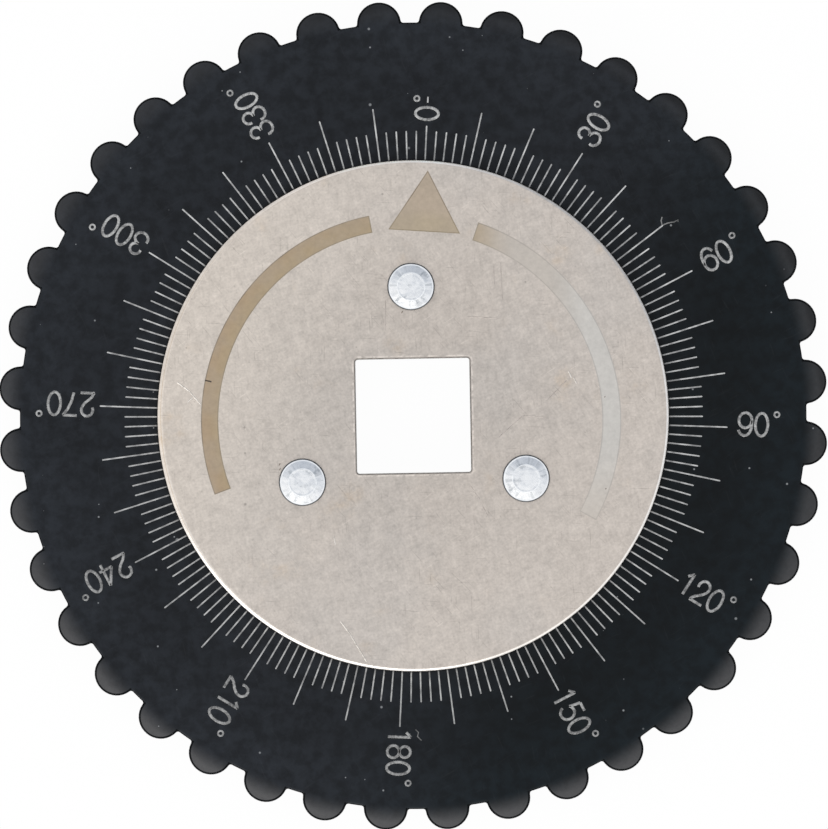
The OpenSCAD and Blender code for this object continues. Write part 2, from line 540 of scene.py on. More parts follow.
def extrude_loops(name, loops, middle):
    """A closed ring of faces: every loop extruded from the one before, the last bridged to the first."""
    piece = start_loop(name, loops[0], middle)
    for loop in loops[1:]:
        bpy.ops.mesh.extrude_edges_move()
        place_selected(piece, loop, middle)
    bpy.ops.mesh.select_all(action="DESELECT")
    bpy.ops.mesh.select_mode(type="EDGE")
    bpy.ops.mesh.select_non_manifold()
    bpy.ops.mesh.bridge_edge_loops()
    close_piece(piece)
    bpy.ops.object.shade_smooth_by_angle(angle=SMOOTH_BELOW)
    return piece


axis_foot = Vector((0, 0, 0))
ring = extrude_loops("degree_ring", ring_loops, axis_foot)
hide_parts("scale_ring")
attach(ring, SCALE)
print("ring faces", len(ring.data.polygons))

# %% [markdown]
# The ring has a satin black coat with a trace of blue. Handling leaves pale pits where the coat has chipped,
# and faint scuffs. Light and shade are painted into the coat as well. It has painted light on the left side.
# The lobes are paler, partly from wear and partly from a painted highlight that is strongest at the bottom.
# Painted shade darkens the lobe tips at the upper right, and a painted shadow of the plate darkens the ring
# beside its rim. The lip where the roll ends gets a darker, matt coat, so from the front it draws a dark
# outline round every lobe: partly a matt edge, partly painted shade where the edge turns down.

# %% Black coat
PLATE_SHADOW_W = 0.38 * MM


def beside_plate(finish):
    """0 at the rim of the plate, where a painted shadow of the plate darkens the ring, and 1 a little further
    out.
    """
    return finish.radius().step(PLATE_R, PLATE_R + PLATE_SHADOW_W)


def black_coat():
    finish = Finish("black_coat", 0.0, 0.13)
    bent = finish.bent_place(3 * MM, 8 * MM)
    cloud = finish.cloud(9 * MM, 4.0)
    grain = finish.cloud(0.5 * MM, 4.0, rough=0.65)
    # Painted light: the coat is lighter on the left side, where the light falls.
    lit_side = finish.along((-0.91, 0.42)).step(-0.65 * ROOT_R, -0.05 * ROOT_R)
    coat = lit_side.tint((0.0024, 0.0042, 0.0056, 1), (0.0098, 0.0116, 0.0146, 1))
    outer = finish.radius().step(ROOT_R - 8.4 * MM, ROOT_R - 1.4 * MM)
    mottle = finish.cloud(1.6 * MM, 4.0, rough=0.6).step(0.34, 0.66)
    level = (0.22 + cloud * 0.6 + mottle * 0.56 + grain * 0.4) * (1 + outer * (0.65 - lit_side * 0.40))
    scuff = finish.streaks(0.4, 0.12 * MM, 3.5 * MM, 0.23, bent)
    scuff = scuff + finish.streaks(-1.1, 0.10 * MM, 3 * MM, 0.23, bent)
    coat_wear_and_light = (scuff * 0.012).tint(coat.shaded(level), (0.30, 0.31, 0.32, 1))
    # The lobes are paler: partly wear, and partly a painted highlight that is strongest towards the bottom,
    # where the light falls.
    lobe_wear_and_highlight = finish.radius().step(ROOT_R - 0.2 * LOBE_R, ROOT_R + 0.8 * LOBE_R)
    lobe_wear_and_highlight = lobe_wear_and_highlight * (0.36 + finish.along((0.1, -1.0)).step(-1.15 * ROOT_R, 1.15 * ROOT_R) * 0.64)
    coat_wear_and_light = (lobe_wear_and_highlight * (0.7 + grain * 0.6)).tint(coat_wear_and_light, (0.058, 0.058, 0.060, 1))
    # Painted shade: the lobe tips at the upper right are darkened, where the roll turns away from the light.
    tip = finish.radius().step(ROOT_R + 0.4 * LOBE_R, ROOT_R + 0.85 * LOBE_R)
    far = finish.along((0.71, 0.71)).step(0.2 * ROOT_R, ROOT_R)
    coat_wear_and_light = coat_wear_and_light.shaded(1 - tip * far * 0.55)
    # Painted shadow of the plate on the ring beside its rim.
    coat_wear_and_light = coat_wear_and_light.shaded(0.35 + beside_plate(finish) * 0.65)
    pits = finish.dots(4.5 * MM, 0.26 * MM, 0.08) * 0.5 + finish.dots(2.1 * MM, 0.16 * MM, 0.06) * 0.6
    coat_wear_and_light = pits.tint(coat_wear_and_light, (0.34, 0.35, 0.36, 1))
    return finish.done(coat_wear_and_light, 0.34 + grain * 0.14 + cloud * 0.08, grain - pits, FINE_BUMP)


ring.data.materials.append(black_coat())
print("coat on the ring")

# %% Matt lip with painted shade
OUTLINE_W = 0.23 * MM
VALLEY_OUTLINE_W = 0.10 * MM
WALL_TILT = 0.1


def matt_lip():
    finish = Finish("matt_lip", 0.0, 0.02)
    patchy = finish.cloud(0.5 * MM, 3.0)
    # Darker than the face of the coat: the dark outline round the lobes is partly a matt edge and partly
    # painted shade where the edge turns down.
    shade = patchy.tint((0.003, 0.0035, 0.004, 1), (0.0085, 0.009, 0.010, 1))
    return finish.done(shade, 0.6 + patchy * 0.2, patchy, 0.01 * MM)


def on_lip(centre, normal):
    """True on the last part of the roll above the wall, which is narrow in the valleys."""
    pitch = 2 * math.pi / LOBES
    turn = round((math.atan2(centre.y, centre.x) - LOBE_START) / pitch) * pitch + LOBE_START
    lobe = Vector((math.cos(turn), math.sin(turn), 0)) * ROOT_R
    flat = Vector((centre.x, centre.y, 0))
    in_valley = ROOT_R - flat.length
    in_lobe = LOBE_R - (flat - lobe).length
    width = VALLEY_OUTLINE_W if in_valley > in_lobe else OUTLINE_W
    return max(in_valley, in_lobe) < width and normal.z > WALL_TILT


assign_faces(ring, matt_lip(), on_lip)
print("lip faces", sum(face.material_index for face in ring.data.polygons))

# %% [markdown]
# The front plate is punched from sheet and tumbled, so its rim is a narrow bevel, wider on the left than
# elsewhere, and the mouth of the square is hardly broken. It is made as the ring is: one outline, extruded
# from loop to loop, here up the rim, across the face to the square and down the walls of the square.

# %% Front plate
PLATE_POINTS = 360
CORNER_POINTS = 9
RIM_PROFILE = [(0.0, 0.20), (0.05, 0.175), (0.5, 0.065), (0.75, 0.02), (1.0, 0.0), (1.3, 0.0)]
MOUTH_BREAK = 0.06 * MM
MOUTH_FLAT = 0.30 * MM


def square_loop(out, height):
    """The square with its rounded corners, drawn this far outside it, with as many points as the rim."""
    inner = SQUARE_HALF - CORNER_R
    sides = PLATE_POINTS // 4 - CORNER_POINTS
    quarter = arc_points(Vector((inner, -inner)), CORNER_R + out, -math.pi / 2, 0, CORNER_POINTS)
    quarter += [Vector((SQUARE_HALF + out, inner * (2 * i / sides - 1))) for i in range(sides)]
    turns = [Matrix.Rotation(i * math.pi / 2, 2) for i in range(4)]
    return [Vector((p.x, p.y, height)) for p in (turn @ p for turn in turns for p in quarter)]


def rim_loop(share, height):
    """A loop on the rim: share 0 lies on the outer wall, 1 where the flat face starts."""
    first = square_loop(0, 0)[0]
    points = []
    for i in range(PLATE_POINTS):
        turn = math.atan2(first.y, first.x) + 2 * math.pi * i / PLATE_POINTS
        left = max(-math.cos(turn), 0) ** 2
        reach = PLATE_R - share * (RIM_NARROW + (RIM_WIDE - RIM_NARROW) * left)
        points.append(Vector((reach * math.cos(turn), reach * math.sin(turn), height)))
    return points


plate_loops = [rim_loop(0, plate_low.z)]
plate_loops += [rim_loop(share, PLATE_TOP - drop * MM) for share, drop in RIM_PROFILE]
plate_loops += [
    square_loop(MOUTH_FLAT, PLATE_TOP),
    square_loop(MOUTH_BREAK, PLATE_TOP),
    square_loop(0, PLATE_TOP - MOUTH_BREAK),
    square_loop(0, plate_low.z),
]
print("plate loops", len(plate_loops))

# %% Model the front plate by extruding its outline
face_plate = extrude_loops("face_plate", plate_loops, axis_foot)
face_plate.data.materials.append(nickel)
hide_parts("pointer_plate")
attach(face_plate, STACK)
print("plate faces", len(face_plate.data.polygons))

# %% [markdown]
# The scale is burnt into the coat by a laser: a line at every second degree and a longer one at every
# tenth, all starting under the rim of the plate. One line is modelled as a thin bar with a rounded outer
# end, and each line of the scale is a copy of it, turned into place. The bars stand a few hundredths of
# a millimetre proud, so that they never flicker with the ring's face.

# %% Scale lines
MARK_PROUD = 0.02 * MM
LINE_W = 0.16 * MM
LINE_END_R = 0.45 * LINE_W
LINE_START = PLATE_R - 0.5 * MM
SHORT_END = 32.45 * MM
LONG_END = 35.25 * MM
ZERO_END = 33.05 * MM
DASH = (35.65 * MM, 36.35 * MM)
ZERO_TURN = math.radians(-3.24)
STEP_DEG = 2
LONG_EVERY = 10


def line_between(start, end):
    """A thin bar along +Y with its outer end rounded, laid half into the ring's face."""
    size = (LINE_W, end - start, 2 * MARK_PROUD)
    middle = (0, (start + end) / 2, RING_TOP)
    bar = new_piece("scale_line", bpy.ops.mesh.primitive_cube_add, size=1, location=middle, scale=size)
    bpy.ops.object.mode_set(mode="EDIT")
    bpy.ops.mesh.select_mode(type="EDGE")
    bpy.ops.mesh.select_all(action="DESELECT")
    mesh = bmesh.from_edit_mesh(bar.data)
    for edge in mesh.edges:
        upright = abs(edge.verts[0].co.z - edge.verts[1].co.z) > MARK_PROUD
        outer = min(v.co.y for v in edge.verts) > middle[1]
        edge.select_set(upright and outer)
    bpy.ops.mesh.bevel(offset=LINE_END_R, segments=2, affect="EDGES")
    bpy.ops.object.mode_set(mode="OBJECT")
    return bar


def turned_copy(piece, turn):
    copy = piece.copy()
    copy.data = piece.data.copy()
    copy.data.transform(Matrix.Rotation(turn, 4, "Z"))
    bpy.context.scene.collection.objects.link(copy)
    return copy


def join_pieces(pieces, name):
    bpy.ops.object.select_all(action="DESELECT")
    for piece in pieces:
        piece.select_set(True)
    bpy.context.view_layer.objects.active = pieces[0]
    bpy.ops.object.join()
    pieces[0].name = name
    return pieces[0]


short_line = line_between(LINE_START, SHORT_END)
long_line = line_between(LINE_START, LONG_END)
zero_line = line_between(LINE_START, ZERO_END)
zero_dash = line_between(*DASH)
lines = [turned_copy(zero_line, ZERO_TURN), turned_copy(zero_dash, ZERO_TURN)]
for degree in range(STEP_DEG, 360, STEP_DEG):
    model = short_line if degree % LONG_EVERY else long_line
    lines.append(turned_copy(model, ZERO_TURN - math.radians(degree)))
for model in (short_line, long_line, zero_line, zero_dash):
    bpy.data.objects.remove(model)
scale_lines = join_pieces(lines, "scale_lines")
print("scale lines", len(lines))

# %% [markdown]
# The numerals are plain single-stroke figures, as a marking machine draws them. Each figure is a few
# strokes on a unit grid: lines, and arcs of ellipses. The strokes become a round tube along a curve,
# which is then pressed flat, so that the stroke keeps one width round every bend.

# %% Strokes of the figures
def sweep(x, y, rx, ry, start, end, steps=14):
    """Points along an elliptical arc, angles in degrees."""
    turns = [math.radians(start + (end - start) * i / steps) for i in range(steps + 1)]
    return [(x + rx * math.cos(t), y + ry * math.sin(t)) for t in turns]


FIGURE_W = 0.56
SIX = [sweep(0.28, 0.33, 0.28, 0.33, 0, 360, 24), [(0.0, 0.33)] + sweep(0.30, 0.55, 0.30, 0.45, 180, 28)]
TWO_SLOPE = [(0.50, 0.62), (0.38, 0.44), (0.14, 0.23), (0.05, 0.11), (0.0, 0.0)]
FIGURES = {
    "0": [sweep(0.28, 0.5, 0.27, 0.5, 0, 360, 28)],
    "1": [[(0.12, 0.79), (0.33, 1.0)], [(0.33, 1.0), (0.33, 0.0)]],
    "2": [sweep(0.27, 0.74, 0.25, 0.27, 205, -25), TWO_SLOPE, [(-0.03, 0.0), (0.58, 0.0)]],
    "3": [sweep(0.26, 0.76, 0.24, 0.24, 190, -90), sweep(0.26, 0.26, 0.29, 0.26, 90, -195)],
    "4": [[(0.42, 0.0), (0.42, 1.0)], [(0.42, 1.0), (0.02, 0.28)], [(0.0, 0.28), (0.60, 0.28)]],
    "5": [[(0.52, 1.0), (0.12, 1.0)], [(0.12, 1.0), (0.05, 0.50)], sweep(0.26, 0.31, 0.29, 0.31, 138, -160)],
    "6": SIX,
    "7": [[(0.0, 1.0), (0.60, 1.0)], [(0.60, 1.0), (0.41, 0.74), (0.25, 0.39), (0.165, 0.0)]],
    "8": [sweep(0.27, 0.76, 0.24, 0.24, 0, 360, 20), sweep(0.27, 0.26, 0.27, 0.26, 0, 360, 20)],
    "9": [[(FIGURE_W - x, 1.0 - y) for x, y in stroke] for stroke in SIX],
}
FIGURE_H = 2.60 * MM
STROKE_W = 0.33 * MM
FIGURE_PITCH = 1.84 * MM
DEGREE_R = 0.29 * MM
DEGREE_STROKE = 0.22 * MM
DEGREE_AFTER = 0.93 * MM
DEGREE_BELOW = 0.1 * MM
print("figures", "".join(sorted(FIGURES)))

# %% Draw strokes as flat marks
def flat_strokes(name, strokes, width, face):
    """Strokes drawn as a tube along a curve, made a mesh and pressed flat on a face."""
    curve = bpy.data.curves.new(name, "CURVE")
    curve.dimensions = "3D"
    curve.bevel_depth = width / 2
    curve.bevel_resolution = 1
    curve.use_fill_caps = True
    for stroke in strokes:
        closed = (Vector(stroke[0]) - Vector(stroke[-1])).length < width / 10
        points = stroke[:-1] if closed else stroke
        spline = curve.splines.new("POLY")
        spline.points.add(len(points) - 1)
        for point, (x, y) in zip(spline.points, points):
            point.co = (x, y, 0, 1)
        spline.use_cyclic_u = closed
    drawing = bpy.data.objects.new(name, curve)
    bpy.context.scene.collection.objects.link(drawing)
    bpy.ops.object.select_all(action="DESELECT")
    drawing.select_set(True)
    bpy.context.view_layer.objects.active = drawing
    bpy.ops.object.convert(target="MESH")
    drawing = bpy.context.object
    press = Matrix.Diagonal((1, 1, 2 * MARK_PROUD / width, 1))
    drawing.data.transform(Matrix.Translation((0, 0, face)) @ press)
    return drawing


def figure_strokes(text):
    """Strokes of a row of figures that starts at x = 0, with its middle height on y = 0."""
    strokes = []
    for i, letter in enumerate(text):
        left = i * FIGURE_PITCH
        for stroke in FIGURES[letter]:
            strokes.append([(left + x * FIGURE_H, (y - 0.5) * FIGURE_H) for x, y in stroke])
    return strokes


print("stroke width", STROKE_W)

# %% Numerals and degree signs
# Where each numeral starts along its line and how far it stands beside it, in millimetres
LABELS = {
    0: (33.54, 0.03), 30: (36.43, 0.38), 60: (36.62, 0.26), 90: (36.33, 0.42),
    120: (35.40, 0.27), 150: (35.27, 0.22), 180: (35.36, 0.01), 210: (35.55, -0.25),
    240: (35.73, -0.28), 270: (35.79, -0.14), 300: (35.93, -0.27), 330: (36.05, 0.04),
}
numerals = []
signs = []
for degree, (start, rise) in LABELS.items():
    text = str(degree)
    turn = math.pi / 2 + ZERO_TURN - math.radians(degree)
    place = Matrix.Translation((start * MM + STROKE_W / 2, rise * MM, 0))
    move = Matrix.Rotation(turn, 4, "Z") @ place
    numeral = flat_strokes("numeral", figure_strokes(text), STROKE_W, RING_TOP)
    numeral.data.transform(move)
    numerals.append(numeral)
    x = (len(text) - 1) * FIGURE_PITCH + FIGURE_W * FIGURE_H + DEGREE_AFTER
    circle = sweep(x, FIGURE_H / 2 - DEGREE_BELOW, DEGREE_R, DEGREE_R, 0, 360, 16)
    sign = flat_strokes("degree_sign", [circle], DEGREE_STROKE, RING_TOP)
    sign.data.transform(move)
    signs.append(sign)
scale_numerals = join_pieces(numerals, "scale_numerals")
degree_signs = join_pieces(signs, "degree_signs")
print("numerals", len(LABELS))

# %% [markdown]
# The laser that burnt this scale was a little out of square: the scale is stretched by less than one part
# in a hundred along one slant and shrunk across it, and its middle lies a tenth of a millimetre off the
# ring's. One matrix on all the marks keeps that trait.

# %% Set the marks as the laser drew them
LASER_STRETCH = 0.0077
LASER_SLANT = math.radians(19.4)
LASER_SHIFT = Vector((0.05, -0.09, 0)) * MM

slant = Matrix.Rotation(LASER_SLANT, 4, "Z")
stretch = Matrix.Diagonal((1 + LASER_STRETCH, 1 - LASER_STRETCH, 1, 1))
laser_field = Matrix.Translation(LASER_SHIFT) @ slant @ stretch @ slant.inverted()
for piece in (scale_lines, scale_numerals, degree_signs):
    piece.data.transform(laser_field)
    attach(piece, SCALE)
print("marks stretched by", LASER_STRETCH)

# %% [markdown]
# Use has left a few single marks that the eye finds at once: a forked scratch at the end of a long line, a
# squiggle beside a numeral, and on the plate bright cuts, faint dark scores and pits. They are thin strokes,
# drawn like the numerals, and a pit is a stroke that is hardly longer than it is wide.

# %% Single scratches
SCRATCH_W = 0.15 * MM
SCORE_W = 0.08 * MM
PIT_W = 0.26 * MM


def at_pixel(px, py):
    """The spot on the part that the camera shows at a pixel of the photograph."""
    x = (px + 0.5 - DISC_CENTRE_PX[0]) / PX_PER_MM * MM
    y = (DISC_CENTRE_PX[1] - py - 0.5) / PX_PER_MM * MM
    spot = Matrix.Rotation(ROLL, 2) @ Vector((x, y))
    return (spot.x, spot.y)


def scratch(name, runs, width, face, body):
    strokes = [[at_pixel(px, py) for px, py in run] for run in runs]
    piece = flat_strokes(name, strokes, width, face)
    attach(piece, body)
    return piece


# The runs of the strokes, in pixels of the photograph
fork = [[(662, 224), (661, 220), (662, 216)], [(663, 224), (668, 222), (674, 221), (678, 219), (678, 221)]]
squiggle = [[(415, 729.5), (418, 732.5), (417, 736.5), (421, 740.5)]]
ring_scratches = scratch("ring_scratches", fork + squiggle, SCRATCH_W, RING_TOP, SCALE)
cuts = [
    [(340, 621), (349, 633), (358, 648), (366, 661)],
    [(177, 382), (189, 391), (200, 404)], [(187, 402), (192, 397)],
    [(333, 535), (335, 545)], [(568, 371), (571, 377)], [(573, 377), (576, 383)],
]
scores = [
    [(500, 262), (501, 281), (502, 300)], [(467, 316), (484, 317), (500, 318)], [(385, 300), (385, 330)],
    [(498, 437), (510, 426), (523, 415)], [(523, 415), (545, 417)], [(470, 485), (479, 499), (487, 515)],
    [(493, 264), (494, 284)], [(546, 400), (566, 380)],
]
pit_spots = [(278.7, 463.7), (279, 468.5), (401.2, 311.5), (604, 396), (605, 488)]
pits = [[(px, py), (px + 0.7, py + 0.4)] for px, py in pit_spots]
pits.append([(204.5, 379.8), (208, 380.6), (211, 381.4)])
plate_cuts = scratch("plate_cuts", cuts, SCRATCH_W, PLATE_TOP, STACK)
plate_scores = scratch("plate_scores", scores, SCORE_W, PLATE_TOP, STACK)
plate_pits = scratch("plate_pits", pits, PIT_W, PLATE_TOP, STACK)
print("single marks", len(fork + squiggle + cuts + scores + pits))

# %% [markdown]
# A laser leaves bare, frosted metal: a light grey, nearly even on the thin lines, stippled on the wider
# strokes of the figures, where the beam passed several times. One recipe makes both: a coarse cloud lets
# some strokes fade, and a fine one, of a share that each mark chooses, gives the stipple. The cuts and
# pits on the plate are patchy bare metal, from bright to rusty.

# %% Laser mark
def laser_mark(name, dark, light, stipple):
    finish = Finish(name, 0.0, 0.3)
    patchy = finish.cloud(1.1 * MM, 2.0)
    fine = finish.cloud(0.26 * MM, 2.0)
    side = finish.along((0.2, 1.0)).step(-1.2 * ROOT_R, 1.2 * ROOT_R)
    level = (patchy * (1 - stipple) + fine * stipple).step(0.30, 0.68)
    grey = level.tint((dark, dark, dark, 1), (light, light, light * 0.98, 1))
    # Painted light and shadow: the marks are lighter towards the top, and darker beside the plate under its
    # painted shadow.
    grey = grey.shaded((0.84 + side * 0.36) * (0.22 + beside_plate(finish) * 0.78))
    return finish.done(grey, 0.55 + fine * 0.15, fine, FINE_BUMP)


def patchy_metal(name, dark, light, patch=0.6 * MM, detail=2.0, edges=(0.32, 0.6), rough=(0.3, 0.2)):
    """Bare metal in patches of two shades, with clear edges or, where none are given, soft ones."""
    finish = Finish(name, 1.0)
    patchy = finish.cloud(patch, detail)
    shade = patchy.step(*edges) if edges else patchy
    return finish.done(shade.tint(dark, light), rough[0] + patchy * rough[1])


line_mark = laser_mark("laser_line", 0.20, 0.49, 0.2)
figure_mark = laser_mark("laser_figure", 0.11, 0.40, 0.55)
faint_mark = laser_mark("faint_scratch", 0.05, 0.20, 0.3)
bright_cut = patchy_metal("bright_cut", (0.58, 0.54, 0.49, 1), (0.82, 0.77, 0.71, 1))
faint_score = patchy_metal("faint_score", (0.43, 0.385, 0.35, 1), (0.575, 0.525, 0.48, 1))
rust_pit = patchy_metal("rust_pit", (0.09, 0.075, 0.06, 1), (0.20, 0.16, 0.13, 1))
marks = [(scale_lines, line_mark), (scale_numerals, figure_mark), (degree_signs, figure_mark)]
marks += [(ring_scratches, faint_mark), (plate_cuts, bright_cut)]
marks += [(plate_scores, faint_score), (plate_pits, rust_pit)]
for piece, material in marks:
    piece.data.materials.clear()
    piece.data.materials.append(material)
print("finish on", len(marks), "sets of marks")

# %% [markdown]
# The pointer and the two curved bands on the plate are burnt into the nickel, which turns it straw
# coloured. The pointer is a triangle, filled and extruded. A band is a short edge swept round the drive
# axis with the spin tool. Both get a narrow inset, because the beam's first pass leaves a darker outline.

# %% Pointer
POINTER_TURN = math.radians(-4.4)
POINTER_TIP_R = 27.7 * MM
POINTER_BASE_R = 20.8 * MM
POINTER_HALF_W = 4.05 * MM
BURN_EDGE_W = 0.12 * MM
BURN_PROUD = 0.012 * MM


def raise_burn(piece):
    """Give a flat burn its narrow border, as a second material slot, and its thickness."""
    bpy.ops.object.material_slot_add()
    bpy.ops.object.material_slot_add()
    bpy.ops.object.mode_set(mode="EDIT")
    bpy.ops.mesh.select_mode(type="FACE")
    bpy.ops.mesh.select_all(action="SELECT")
    bpy.ops.mesh.inset(thickness=BURN_EDGE_W, use_boundary=True)
    bpy.ops.mesh.select_all(action="INVERT")
    piece.active_material_index = 1
    bpy.ops.object.material_slot_assign()
    bpy.ops.mesh.select_all(action="SELECT")
    bpy.ops.mesh.extrude_region_move(TRANSFORM_OT_translate={"value": (0, 0, 2 * BURN_PROUD)})
    close_piece(piece)


add_circle = bpy.ops.mesh.primitive_circle_add
pointer = new_piece("pointer_mark", add_circle, vertices=3, radius=MM, fill_type="NGON", location=(0, 0, 0))
corners = [(0, POINTER_TIP_R), (-POINTER_HALF_W, POINTER_BASE_R), (POINTER_HALF_W, POINTER_BASE_R)]
for vertex, (x, y) in zip(pointer.data.vertices, corners):
    vertex.co = (x, y, PLATE_TOP - BURN_PROUD)
pointer.data.transform(Matrix.Rotation(POINTER_TURN, 4, "Z"))
raise_burn(pointer)
print("pointer faces", len(pointer.data.polygons))

# %% Curved bands
BAND_STEP = math.radians(1.5)


def curved_band(name, radii, start_deg, end_deg, shift):
    """A band between two radii and two angles clockwise from +Y, its middle shifted from the drive axis."""
    inner, outer = (radius * MM for radius in radii)
    middle = (0, (inner + outer) / 2, PLATE_TOP - BURN_PROUD)
    band = new_piece(name, bpy.ops.mesh.primitive_plane_add, size=outer - inner, location=middle)
    bpy.ops.object.mode_set(mode="EDIT")
    mesh = bmesh.from_edit_mesh(band.data)
    bmesh.ops.delete(mesh, geom=[v for v in mesh.verts if v.co.x > 0], context="VERTS")
    for vertex in mesh.verts:
        vertex.co.x = 0
    bmesh.update_edit_mesh(band.data)
    bpy.ops.mesh.select_all(action="SELECT")
    angle = math.radians(end_deg - start_deg)
    bpy.ops.mesh.spin(steps=round(angle / BAND_STEP), angle=angle, center=(0, 0, 0), axis=(0, 0, 1))
    bpy.ops.object.mode_set(mode="OBJECT")
    place = Matrix.Translation(Vector(shift) * MM)
    band.data.transform(place @ Matrix.Rotation(-math.radians(start_deg), 4, "Z"))
    raise_burn(band)
    return band


left_band = curved_band("left_band", (21.55, 23.5), -109.9, -10.2, (-0.42, -0.50, 0))
right_band = curved_band("right_band", (21.42, 23.55), 19.4, 119.4, (-0.12, -0.55, 0))
for piece in (pointer, left_band, right_band):
    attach(piece, STACK)
print("band faces", len(left_band.data.polygons), len(right_band.data.polygons))

# %% Straw-coloured burn
BURN_GREY = (0.390, 0.325, 0.255, 1)
BURN_YELLOW = (0.430, 0.365, 0.215, 1)


def burnt_nickel(name, straw, faded, pale):
    """Burnt nickel that fades across the plate from straw over the plate's own colour to a pale grey."""
    finish = Finish(name, 1.0)
    side = finish.axis(0) / PLATE_R
    grain = finish.cloud(0.5 * MM, 4.0, rough=0.65)
    cloud = finish.cloud(3 * MM, 3.0)
    level = 0.76 + grain * 0.34 + cloud * 0.14
    inner = 1 - finish.radius().step(21.9 * MM, 23.7 * MM)
    strong = (cloud.step(0.36, 0.64) * 0.45).tint((inner * 0.25).tint(straw, BURN_YELLOW), BURN_GREY)
    weak = side.step(0.18, 0.42).tint(strong, faded)
    low = (finish.axis(1) * -1.0).step(2 * MM, 13 * MM)
    late = low.tint(pale, faded).shaded(1 + low * 0.06)
    burn = side.step(0.52, 0.70).tint(weak, late).shaded(level)
    return finish.done(burn, 0.40 + grain * 0.12, grain, 0.004 * MM)


burn_faded = (0.545, 0.497, 0.445, 1)
burn_pale = (0.590, 0.565, 0.527, 1)
burn = burnt_nickel("burnt_nickel", (0.430, 0.326, 0.222, 1), burn_faded, burn_pale)
burn_light = burnt_nickel("burnt_pointer", (0.482, 0.398, 0.310, 1), burn_faded, burn_pale)
edge_faded = (0.470, 0.430, 0.385, 1)
edge_pale = (0.490, 0.462, 0.430, 1)
burn_edge = burnt_nickel("burnt_outline", (0.285, 0.235, 0.177, 1), edge_faded, edge_pale)
for piece, face in ((pointer, burn_light), (left_band, burn), (right_band, burn)):
    piece.data.materials[0] = face
    piece.data.materials[1] = burn_edge
print("burnt finish on the plate marks")

# %% [markdown]
# The rivets are soft zinc-plated steel, set by a press. The tool leaves a shallow dish in the middle, a
# sloping shoulder with fine radial creases and a rim that never comes out quite round. A head is one loop
# of edges, filled and extruded from place to place, with a little noise in the radius of each loop.

# %% Rivet heads
RIVET_SIDES = 96
SHANK_R = 1.5 * MM
SINK_R = 2.6 * MM
SINK_H = 1.1 * MM
UNEVEN = 0.02
CREASE = 0.045 * MM
CREASES_ROUND = 6
WOBBLES_ROUND = 1.6
RIPPLES_ROUND = 9
RIVET_SMOOTH_BELOW = math.radians(35)
SHOULDER = (0.58, 0.89)
HEAD_PROFILE = [
    (0.965, 0.0), (1.0, 0.15), (0.995, 0.32), (0.975, 0.46), (0.95, 0.53), (0.90, 0.54), (0.88, 0.565),
    (0.80, 0.645), (0.71, 0.74), (0.64, 0.81), (0.60, 0.855), (0.565, 0.875), (0.53, 0.865), (0.505, 0.845),
]
DISH_PROFILE = [(0.47, 0.84), (0.30, 0.84), (0.12, 0.84)]


def rivet_loop(middle, seed, radius, height, uneven=0, crease=0):
    """A loop round the rivet, pulled in and pressed down a little by noise."""
    points = []
    for i in range(RIVET_SIDES):
        turn = 2 * math.pi * i / RIVET_SIDES
        way = Vector((math.cos(turn), math.sin(turn), 0))
        wobble = noise.noise(way * WOBBLES_ROUND + Vector((seed, 0, radius / MM)))
        ripple = noise.noise(way * RIPPLES_ROUND + Vector((0, seed, radius / MM / 4)))
        reach = radius * (1 - uneven * (0.5 + 0.5 * wobble))
        points.append(middle + way * reach + Vector((0, 0, height - crease * (0.5 + 0.5 * ripple))))
    return points


def set_rivet(node, seed):
    """A set rivet from its flush back to its uneven front head."""
    low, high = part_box(node)
    middle = Vector(((low.x + high.x) / 2, (low.y + high.y) / 2, 0))
    head_r = (high.x - low.x) / 2
    head_h = high.z - PLATE_TOP
    profile = [(SINK_R, low.z), (SHANK_R, low.z + SINK_H), (SHANK_R, PLATE_TOP)]
    for share, rise in HEAD_PROFILE:
        profile.append((share * head_r, PLATE_TOP + rise * head_h, UNEVEN, CREASE * min(rise * 3, 1)))
    profile += [(share * head_r, PLATE_TOP + rise * head_h) for share, rise in DISH_PROFILE]
    loops = [rivet_loop(middle, seed, *spot) for spot in profile]
    rivet = start_loop("set_" + node, loops[0], middle)
    bpy.ops.mesh.edge_face_add()
    for loop in loops[1:]:
        bpy.ops.mesh.extrude_region_move()
        place_selected(rivet, loop, middle)
    close_piece(rivet)
    bpy.ops.object.shade_smooth_by_angle(angle=RIVET_SMOOTH_BELOW)
    return rivet, middle, head_r


def mark_creases(rivet, middle, head_r, seed):
    """Store on each vertex of the shoulder how dark the painted shade of the press's creases is there."""
    creases = rivet.data.attributes.new("crease", "FLOAT", "POINT")
    for vertex, crease in zip(rivet.data.vertices, creases.data):
        out = Vector((vertex.co.x - middle.x, vertex.co.y - middle.y, 0))
        on_shoulder = SHOULDER[0] < out.length / head_r < SHOULDER[1]
        depth = noise.noise(out.normalized() * CREASES_ROUND + Vector((seed, 0, 0)))
        crease.value = depth if on_shoulder else 0


print("loops of a head", len(HEAD_PROFILE + DISH_PROFILE))

